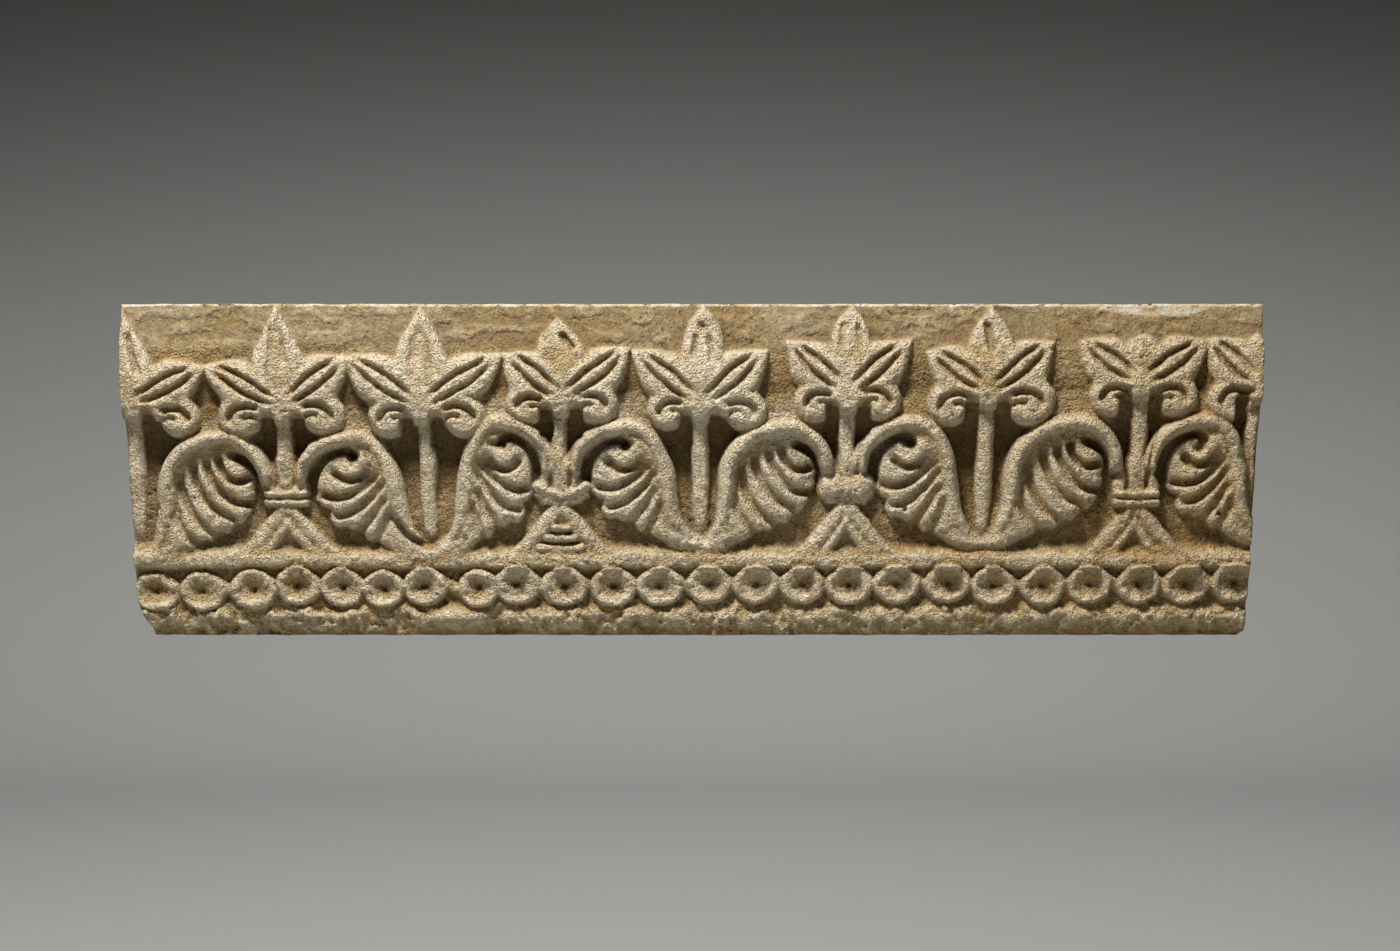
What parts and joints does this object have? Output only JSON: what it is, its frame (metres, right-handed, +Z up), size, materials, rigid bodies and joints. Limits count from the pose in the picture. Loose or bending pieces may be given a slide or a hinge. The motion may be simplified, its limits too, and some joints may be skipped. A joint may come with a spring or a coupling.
{
  "type": "decorative wall panel",
  "caption": "Built-in stucco frieze panel: a thick block whose leaning face carries palmette leaves, fluted wings, a roll and a looped guilloche below a plain band",
  "frame": {"origin": "the middle of the flat back, where the panel is bedded on the wall", "axes": "+X along the frieze, to the right as seen from the front; +Y out of the flat back, into the wall, so the carved face looks along -Y; +Z up, towards the plain band"},
  "size_m": [1, 0.1651, 0.296],
  "materials": {
    "stucco": "matte sandy gypsum stucco, buff, pitted and worn"
  },
  "bodies": {
    "root": {"stucco_panel": "stucco"}
  },
  "joints": []
}
